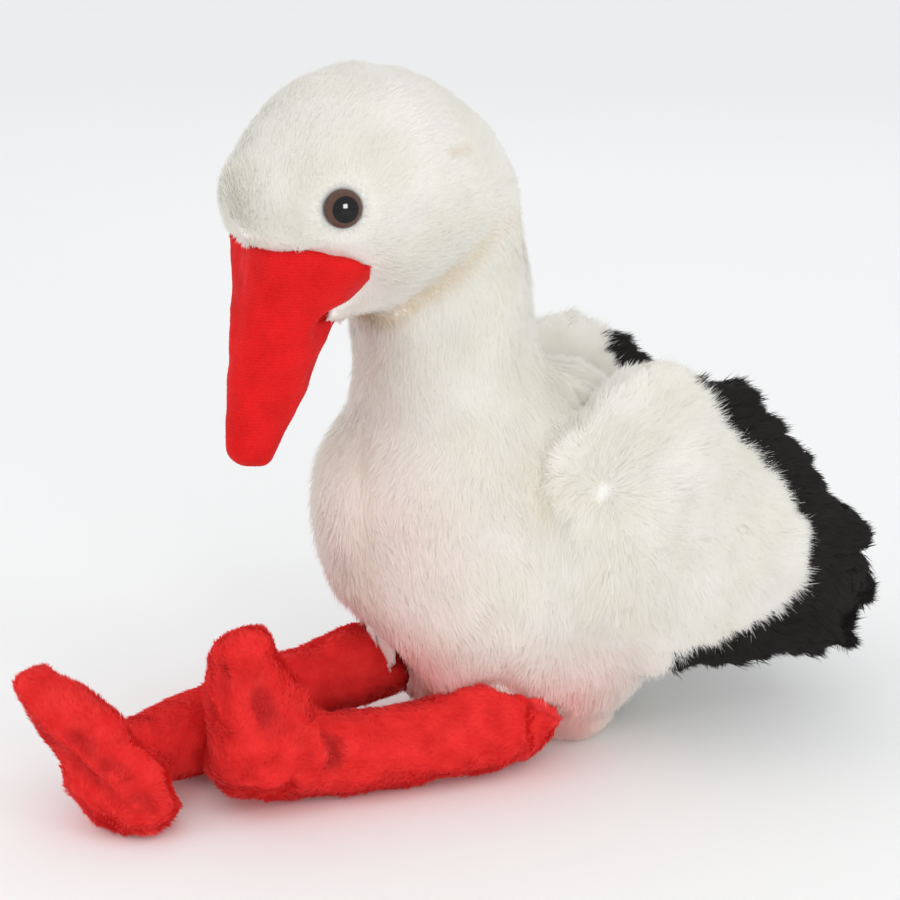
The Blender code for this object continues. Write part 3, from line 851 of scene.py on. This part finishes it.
for name, fur in bodyFur.items():
    dark = name.startswith("trim")
    cloth = blackPlush if dark else whitePlush
    coat = growTufts(name, bodySkin, fur["tufts"], fur["look"], fur["share"], cloth, fur["seed"])
    coat.visible_shadow = dark  # pale pile lets the light through, so it throws no shadow on itself
    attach(coat, "root")
print("body coat done")

# legs and feet: short red plush
legPile = {"leg": {"length": 3.2, "lift": 42, "bend": 24}, "foot": {"length": 3.2, "lift": 46, "bend": 24}}
shortPile = {"width": 0.0003, "swirl": 32, "swirlSize": 0.012, "stray": 16, "ruffle": 9, "ruffleSize": 0.005,
             "curl": 0.25, "uneven": 0.4, "roll": 20, "own": 0.16, "rise": 16,
             "clump": 0.3, "clumpSize": 0.002, "clumpTurn": 7, "clumpLength": 0.08, "clumpLift": 4}
# seams, puckers and the folds of a foot, as for the body; a depth below 0 stands out
footCreases = {
    "left": (
        {"path": ((0.0243, -0.1198, 0.06), (0.0285, -0.122, 0.05), (0.0295, -0.122, 0.04), (0.03, -0.1215, 0.033)),
         "width": 0.0016, "depth": 0.0026, "shade": 0.35},
        {"path": ((0.0345, -0.1115, 0.046), (0.0357, -0.1105, 0.04), (0.036, -0.1085, 0.034), (0.0355, -0.1065, 0.031)),
         "width": 0.0024, "depth": 0.0024, "shade": 0.3},
        {"path": ((0.033, -0.113, 0.056), (0.0352, -0.1105, 0.044), (0.0357, -0.1065, 0.031), (0.033, -0.099, 0.029)),
         "width": 0.004, "depth": 0.0013, "shade": 0.18},
        {"path": ((0.03, -0.0945, 0.036), (0.035, -0.0865, 0.024), (0.0385, -0.0865, 0.018), (0.039, -0.0915, 0.01)),
         "width": 0.002, "depth": 0.0044, "shade": 0.6},
        {"path": ((0.031, -0.1, 0.034), (0.0345, -0.094, 0.024), (0.035, -0.096, 0.014)),
         "width": 0.006, "depth": -0.0034, "shade": 0.0},
        {"path": ((0.033, -0.118, 0.03), (0.033, -0.113, 0.016), (0.033, -0.105, 0.01)),
         "width": 0.007, "depth": -0.0012, "shade": 0.0},
    ),
    "right": (
        {"path": ((0.004, -0.1735, 0.034), (0.0076, -0.1718, 0.0262), (0.0184, -0.1655, 0.02), (0.0262, -0.1585, 0.015),
                  (0.032, -0.1479, 0.0089)), "width": 0.002, "depth": 0.002, "shade": 0.3},
        {"path": ((0.0081, -0.1718, 0.035), (0.018, -0.164, 0.027), (0.0255, -0.156, 0.021)),
         "width": 0.004, "depth": -0.0013, "shade": 0.0},
        {"path": ((0.0155, -0.166, 0.031), (0.0185, -0.1625, 0.0285)),
         "width": 0.003, "depth": 0.0018, "shade": 0.4, "blunt": True},
        {"path": ((0.024, -0.158, 0.024), (0.0265, -0.155, 0.021)),
         "width": 0.0024, "depth": 0.0018, "shade": 0.4, "blunt": True},
        {"path": ((0.03, -0.1515, 0.014), (0.0315, -0.149, 0.0125)),
         "width": 0.0022, "depth": 0.0018, "shade": 0.4, "blunt": True},
    ),
}
ankleFill = {"left": 0.25, "right": 1.0}  # how far the hollow between a foot and its leg is filled
hips = {"left": np.array([0.04, -0.018, 0.022]), "right": np.array([-0.024, -0.045, 0.03])}
for number, side in enumerate(("left", "right")):
    names = ("leg_" + side, "foot_" + side)
    legSkin = oneShell(names, swell=0.4 * mm, voxel=1.0 * mm)
    legSkin.points = relax(legSkin.points, legSkin.edges, 5)
    ankle = np.clip(4 * np.prod([shareOf(legSkin, 50, part) for part in ("leg", "foot")], axis=0), 0, 1)
    hip = closeTo(legSkin.points, hips[side], 0.015)
    fillHollows(legSkin, np.maximum(ankle * ankleFill[side], np.clip(1.5 * hip, 0, 1)), times=260)
    onFoot = shareOf(legSkin, 5, "foot")
    pushOut(legSkin, legPushes[side])
    points, normals = legSkin.points, smoothNormals(legSkin, 3)
    cut, shade = creased(points, footCreases[side])
    cut -= ((0.0007 + 0.0006 * onFoot) * softNoise(points, 0.012, 6 + number)
            + (0.0003 + 0.0003 * onFoot) * softNoise(points, 0.006, 7))
    legSkin.points = points - normals * cut[:, None]
    for key, scale in (("length", mm), ("lift", 1), ("bend", 1)):
        setattr(legSkin, key, (legPile["leg"][key] * (1 - onFoot) + legPile["foot"][key] * onFoot) * scale)
    sink(legSkin, pileHeight(legSkin), steps=4)
    points = legSkin.points
    alongLeg = unit(middleOf(names[1]) - middleOf(names[0])) + 0 * points
    upFoot = unit(points - (middleOf(names[1]) - (0, 0, 0.02)))
    legSkin.flow = alongLeg * (1 - onFoot)[:, None] + upFoot * onFoot[:, None]
    legSkin.stain, legSkin.shade, legSkin.wild = 0 * onFoot, np.clip(shade, 0, 0.9), 0 * onFoot
    leg = finishSkin("legSkin" + side.capitalize(), legSkin, legCloth, 0 * onFoot)
    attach(leg, "root")
    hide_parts(*names)
    pile = growTufts("legPile" + side.capitalize(), legSkin, 80000, shortPile, 1 + 0 * onFoot, redPlush, 31 + number)
    pile.visible_shadow = False
    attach(pile, "root")
print("legs done")

# bill: red velour with a fine rib and a seam down its ridge, and a nap that shows at its edge
billSeam = {"path": ((0.0175, -0.105, 0.165), (0.018, -0.1072, 0.15), (0.019, -0.1085, 0.135), (0.0193, -0.1085, 0.12)),
            "width": 0.0007, "depth": 0.0006}
billPushes = (
    ((0.029, -0.098, 0.179), 7, (0.3, -1.0, 3.8)),
    ((-0.029, -0.098, 0.179), 7, (-0.3, -1.0, 3.8)),
    ((0.006, -0.106, 0.179), 11, (0, 3.2, 0)),
    ((0.023, -0.079, 0.156), 6.5, (-1.0, -5.0, 0.5)),
    ((-0.023, -0.079, 0.156), 6.5, (1.0, -5.0, 0.5)),
    ((0.019, -0.108, 0.104), 9, (0, 0, 1.2)),
)
billSkin = oneShell(("bill",), swell=0.9 * mm, voxel=0.75 * mm)
billSkin.points = relax(billSkin.points, billSkin.edges, 6)
pushOut(billSkin, billPushes)
points = billSkin.points
normals = smoothNormals(billSkin, 3)
ridge = furrow(points, billSeam)
underFluff, underBrow = (smoothStep(0.02, 0.5, relax(share, billSkin.edges, 3))
                         for share in (onChin(points, 0.001), onBrow(points, 0.0006)))
covered = np.maximum(underFluff, underBrow)
lumps = 0.0005 * softNoise(points, 0.012, 9) + 0.00025 * softNoise(points, 0.005, 10)
billSkin.points = points - normals * (billSeam["depth"] * ridge - lumps)[:, None]
sink(billSkin, 0.0004 + np.maximum(0.0032 * underFluff, 0.0045 * underBrow))
# what the brow covers is drawn in towards its own middle
heart = billSkin.points[underBrow > 0.9].mean(axis=0)
billSkin.points += (heart - billSkin.points) * (0.22 * underBrow)[:, None]
points = billSkin.points
billSkin.flow = np.array([0, 0, -1.0]) + 0 * points
billSkin.length = np.full(len(points), 0.9 * mm)
billSkin.lift = np.full(len(points), 45.0)
billSkin.bend = np.full(len(points), 15.0)
# just under the brow's edge the velour and its nap are painted darker: painted shade where the white fur hangs over
browShade = smoothStep(0.0035, 0.0, np.interp(points[:, 1], brow["forwards"], brow["height"]) - points[:, 2])
billSkin.stain, billSkin.shade = 0 * covered, np.clip(0.5 * ridge + 0.5 * browShade, 0, 1)
billSkin.wild = 0 * covered
bill = finishSkin("billSkin", billSkin, billVelour, np.clip(0.6 * ridge + 0.6 * browShade, 0, 1))
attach(bill, "root")
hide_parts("bill")
napLook = {"width": 0.00026, "swirl": 15, "swirlSize": 0.012, "stray": 18, "ruffle": 8, "ruffleSize": 0.006,
           "curl": 0.3, "uneven": 0.4, "roll": 30, "own": 0.2, "rise": 0,
           "clump": 0.1, "clumpSize": 0.0012, "clumpTurn": 0, "clumpLength": 0, "clumpLift": 0}
nap = growTufts("billNap", billSkin, 40000, napLook, 1 - smoothStep(0.0, 0.2, covered), redNap, 41)
nap.visible_shadow = False
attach(nap, "root")
print("bill done")

# eyes: a domed plastic button each, brown with a dark pupil under a clear coat
eyeLook = {"radius": 5.9, "dome": 4.0, "pupil": 0.68, "shift": (0.0, 0.03),
           "iris": (0.115, 0.058, 0.04, 1), "dark": (0.006, 0.005, 0.006, 1), "edge": (0.035, 0.018, 0.013, 1)}
eyeMaterial, tree, place = newMaterial("eyePlastic")
ring = pointValue(tree, "ring")
speck = noiseOf(tree, place, 1800.0, 2.0)
iris = blendColours(tree, mapped(tree, speck, 0.3, 0.7, 0, 0.35), eyeLook["iris"], eyeLook["edge"])
offPupil = mapped(tree, ring, eyeLook["pupil"] - 0.02, eyeLook["pupil"] + 0.02, 0, 1)
tone = blendColours(tree, offPupil, eyeLook["dark"], iris)
tone = blendColours(tree, mapped(tree, ring, 0.93, 1.0, 0, 1), tone, eyeLook["edge"])
shine = addNode(tree, "BsdfPrincipled", {"Base Color": tone, "Roughness": 0.1, "Specular IOR Level": 0.28})
setSurface(tree, shine)
sides = 64  # of the turned profile
for name in ("eye_left", "eye_right"):
    # the profile is a quarter ellipse out to the rim and a short curve back under it, turned round the eye's own axis:
    # the thinnest way through the node, pointing away from the head
    nodePoints = readMesh(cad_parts[name].data)[0]
    middle = middleOf(name)
    axis = np.linalg.svd(nodePoints - nodePoints.mean(axis=0))[2][2]
    axis = axis * np.sign(axis @ (middle - middleOf("head")))
    right = unit(np.cross(axis, (0, 0, 1.0)))
    up = np.cross(right, axis)
    rise = np.radians(np.linspace(0, 90, 22))
    out = np.concatenate([np.sin(rise), [0.99, 0.9, 0.7, 0.4, 0]]) * eyeLook["radius"] * mm
    high = np.concatenate([np.cos(rise) * eyeLook["dome"], [-0.6, -1.4, -2.2, -2.7, -2.9]]) * mm
    step = np.arange(sides)
    spin = np.radians(step * 360 / sides)
    across, upwards = out[1:-1, None] * np.cos(spin), out[1:-1, None] * np.sin(spin)
    rows = middle + across[..., None] * right + upwards[..., None] * up + high[1:-1, None, None] * axis
    points = np.concatenate([middle + axis * high[:1, None], rows.reshape(-1, 3), middle + axis * high[-1:, None]])
    following = (step + 1) % sides
    grid = 1 + sides * np.arange(len(rows) - 1)[:, None] + step
    after = grid - step + following
    quads = np.stack([grid, grid + sides, after + sides, after], axis=-1).reshape(-1, 4)
    last = 1 + sides * (len(rows) - 1)
    caps = np.concatenate([np.stack([0 * step, 1 + step, 1 + following], axis=1),
                           np.stack([0 * step + len(points) - 1, last + following, last + step], axis=1)])
    faces = np.concatenate([quads[:, [0, 1, 2]], quads[:, [0, 2, 3]], caps])
    eye = meshObject(name.split("_")[1] + "Eye", points, faces, eyeMaterial)
    away = np.stack([(points - middle) @ right, (points - middle) @ up], axis=1) / (eyeLook["radius"] * mm)
    gap = np.linalg.norm(away - eyeLook["shift"], axis=1)
    gap = np.where((points - middle) @ axis > 0, gap, 1.0)
    giveValue(eye, "ring", gap)
    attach(eye, "root")
    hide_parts(name)
print("eyes done")

# floor, light and camera
stageLook = {"floor": (0.9, 0.9, 0.89, 1), "grain": (0.87, 0.87, 0.86, 1), "reach": 9, "height": -0.0002,
             "sky": (0.97, 0.98, 1.0, 1), "skyStrength": 0.95}
floorPoints = np.array([[-1, -1, 0], [1, -1, 0], [1, 1, 0], [-1, 1, 0]]) * stageLook["reach"]
floorPoints = floorPoints + (0, 0, stageLook["height"])
floorMaterial, tree, place = newMaterial("paleFloor")
grain = noiseOf(tree, place, 6.0, 2.0)
tone = blendColours(tree, mapped(tree, grain, 0.3, 0.7, 0, 0.15), stageLook["floor"], stageLook["grain"])
matt = addNode(tree, "BsdfPrincipled", {"Base Color": tone, "Roughness": 0.9})
setSurface(tree, matt)
floor = meshObject("paleFloor", floorPoints, np.array([[0, 1, 2, 3]]), floorMaterial)

world = bpy.data.worlds.new("studio")
bpy.context.scene.world = world
world.use_nodes = True
sky = world.node_tree.nodes["Background"]
sky.inputs["Color"].default_value = stageLook["sky"]
sky.inputs["Strength"].default_value = stageLook["skyStrength"]


def aim(made, azimuth, elevation, distance, target):
    # the light or camera stands that way and that far from the target, and faces it
    a, e = math.radians(azimuth), math.radians(elevation)
    back = Vector((math.sin(a) * math.cos(e), -math.cos(a) * math.cos(e), math.sin(e)))
    made.location = Vector(target) + back * distance
    made.rotation_euler = back.to_track_quat("Z", "Y").to_euler()


softLights = {
    # azimuth, elevation, distance, side of the square, watts
    "keyLight": (10, 42, 1.2, 0.9, 0.8),
    "frontLight": (-4, 12, 1.2, 0.7, 0.85),
    "sideLight": (88, 14, 1.3, 0.4, 2.1),
    "fillLight": (121, 39, 1.3, 0.2, 0.9),
    "glintLight": (88, 14, 1.22, 0.34, 14.0),
    "backLight": (235, 35, 1.4, 0.9, 0.6),
}
litPlace = (0, -0.02, 0.11)  # what all of them face
for name, (azimuth, elevation, distance, size, watts) in softLights.items():
    lamp = bpy.data.lights.new(name, "AREA")
    lamp.shape = "SQUARE"
    lamp.size = size
    lamp.energy = watts
    made = placeObject(name, lamp)
    aim(made, azimuth, elevation, distance, litPlace)
    # only the glint light shines back from the eyes, and it does nothing else
    made.visible_diffuse, made.visible_glossy = name != "glintLight", name == "glintLight"

cameraLook = {"azimuth": 64, "elevation": 17, "distance": 0.7, "lens": 84, "target": (0, -0.029, 0.103)}
camera = placeObject("camera", bpy.data.cameras.new("camera"))
camera.data.lens = cameraLook["lens"]
camera.data.sensor_width = 36
aim(camera, cameraLook["azimuth"], cameraLook["elevation"], cameraLook["distance"], cameraLook["target"])
bpy.context.scene.camera = camera
bpy.context.scene.view_settings.view_transform = "Standard"
bpy.context.scene.cycles.max_bounces = 24
bpy.context.scene.cycles.diffuse_bounces = 10  # pale pile passes light on many times
bpy.context.scene.cycles.transmission_bounces = 20
